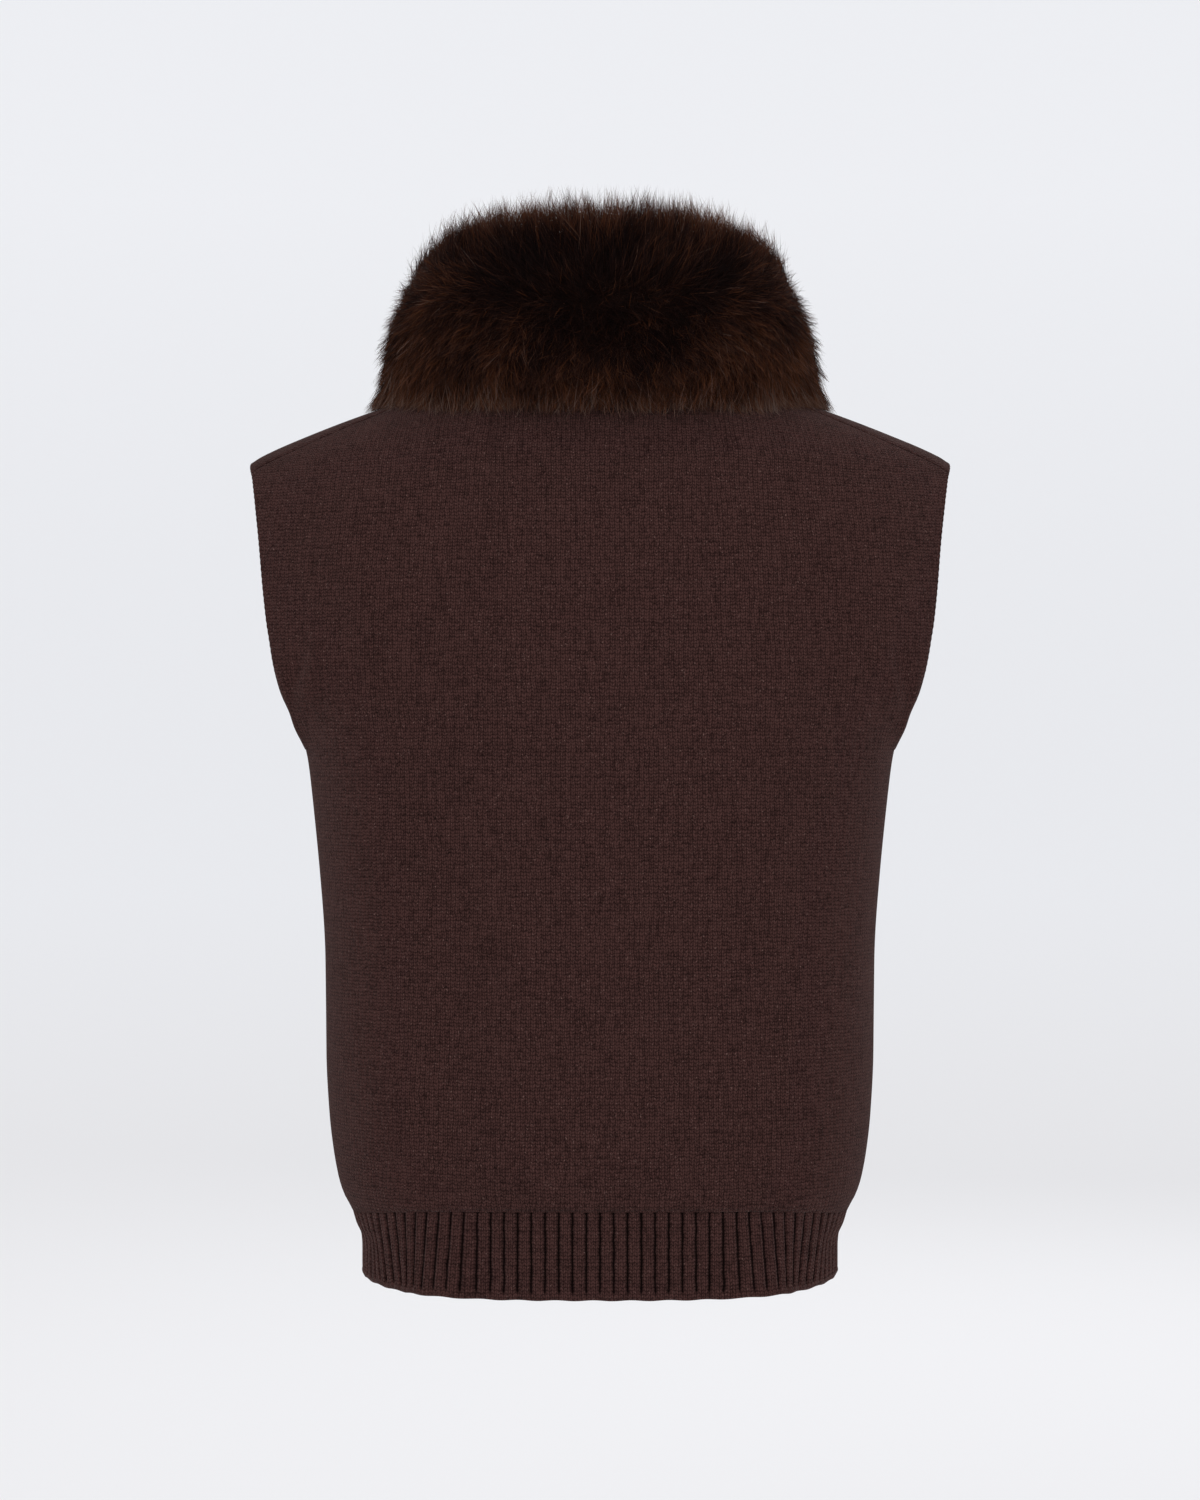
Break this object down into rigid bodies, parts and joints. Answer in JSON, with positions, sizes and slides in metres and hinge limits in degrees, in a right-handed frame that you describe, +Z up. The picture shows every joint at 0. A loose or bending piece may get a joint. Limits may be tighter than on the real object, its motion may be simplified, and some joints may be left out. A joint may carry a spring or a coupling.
{
  "type": "sleeveless knit jacket",
  "caption": "Sleeveless stockinette knit jacket with a ribbed hem band, a zip front and a deep fur collar, worn open and hollow on a general figure.",
  "frame": {"origin": "midway between the two places where the wearer's shoulders carry the jacket, in the plane of the side seams", "axes": "+Z up, +Y out of the wearer's back, so the zip front faces -Y; +X to the wearer's left"},
  "size_m": [0.4656, 0.2487, 0.715],
  "materials": {
    "knit": "dark brown wool stockinette, matt and slightly fuzzy",
    "rib": "dark brown wool rib, matt",
    "fur": "near-black brown long fur with warm brown underneath",
    "tape": "dark brown woven zip tape",
    "zip_metal": "dark antique metal"
  },
  "bodies": {
    "jacket": {"back_panel": "knit", "front_left": "knit", "front_right": "knit", "hem_rib_back": "rib", "hem_rib_front_left": "rib", "hem_rib_front_right": "rib", "fur_collar": "fur", "zip_tape_left": "tape", "zip_tape_right": "tape", "zip_chain": "zip_metal", "zip_slider": "zip_metal"},
    "pull_tab": {"zip_pull_tab": "zip_metal"}
  },
  "joints": [
    {"name": "pull_tab_hinge", "type": "hinge", "parent": "jacket", "child": "pull_tab", "pos_m": [0, -0.103, -0.04356], "axis": [-1, 0, 0], "range_deg": [0, 100]}
  ]
}
